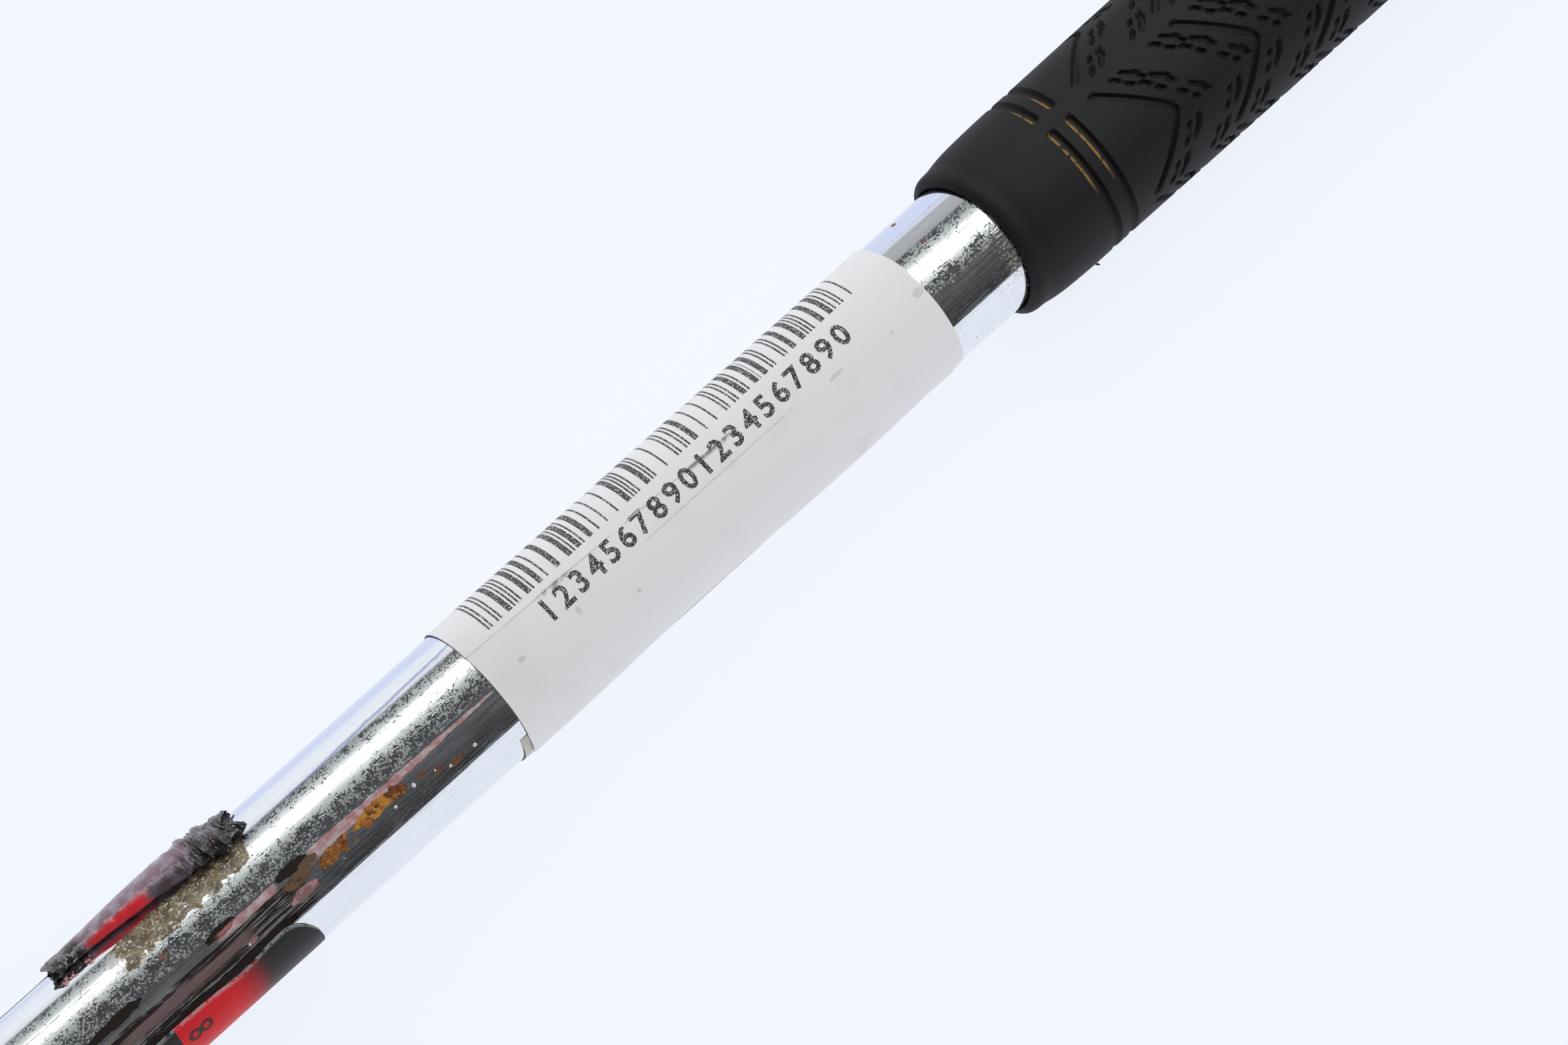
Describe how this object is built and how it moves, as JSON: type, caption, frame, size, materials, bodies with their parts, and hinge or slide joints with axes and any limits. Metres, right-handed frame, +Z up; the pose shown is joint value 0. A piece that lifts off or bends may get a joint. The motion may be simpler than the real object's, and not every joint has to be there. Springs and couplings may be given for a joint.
{
  "type": "flex-head breaker bar",
  "caption": "Long-handled breaker bar with a square drive head that swings in a fork, a chromed tubular handle, a moulded rubber grip and a wrapped paper label.",
  "frame": {"origin": "centre of the square drive at the shoulder that a socket butts against", "axes": "+X from the head to the butt of the grip along the handle, +Z up along the head's pivot pin with the bar lying flat, +Y to the side"},
  "size_m": [0.61, 0.0332, 0.0332],
  "materials": {
    "chromed_tube": "worn bright chrome plate",
    "forged_chrome": "satin chrome on a forging",
    "hardened_steel": "ground steel",
    "spring_steel": "oiled spring wire",
    "grip_rubber": "matte moulded rubber",
    "cap_plastic": "moulded black plastic",
    "tape_paper": "double-sided tape",
    "label_paper": "matte label paper",
    "decal_vinyl": "gloss printed film"
  },
  "bodies": {
    "handle": {"head_fork": "forged_chrome", "pivot_pin": "hardened_steel", "side_washers": "hardened_steel", "friction_spring": "spring_steel", "shank_pins": "hardened_steel", "handle_tube": "chromed_tube", "tube_plug": "cap_plastic", "grip_tape": "tape_paper", "rubber_grip": "grip_rubber", "grip_cap": "cap_plastic", "inventory_label": "label_paper", "old_label_layer": "label_paper", "decal_film": "decal_vinyl", "decal_roll": "decal_vinyl"},
    "swing_head": {"drive_head": "forged_chrome", "detent_spring": "spring_steel"},
    "ball": {"detent_ball": "hardened_steel"},
    "plunger": {"friction_plunger": "hardened_steel"}
  },
  "joints": [
    {"name": "head_pivot", "type": "hinge", "parent": "handle", "child": "swing_head", "pos_m": [0.024, 0, 0], "axis": [0, 0, 1], "range_deg": [-95, 95]},
    {"name": "ball_press", "type": "slide", "parent": "swing_head", "child": "ball", "axis": [0, 0, 1], "range_m": [-0.0011, 0], "stiffness_N_per_m": 1500, "springref_m": 0.001, "deforming": ["detent_spring"]},
    {"name": "plunger_press", "type": "slide", "parent": "handle", "child": "plunger", "axis": [1, 0, 0], "range_m": [0, 0.0006], "stiffness_N_per_m": 4000, "springref_m": -0.001, "deforming": ["friction_spring"]}
  ]
}
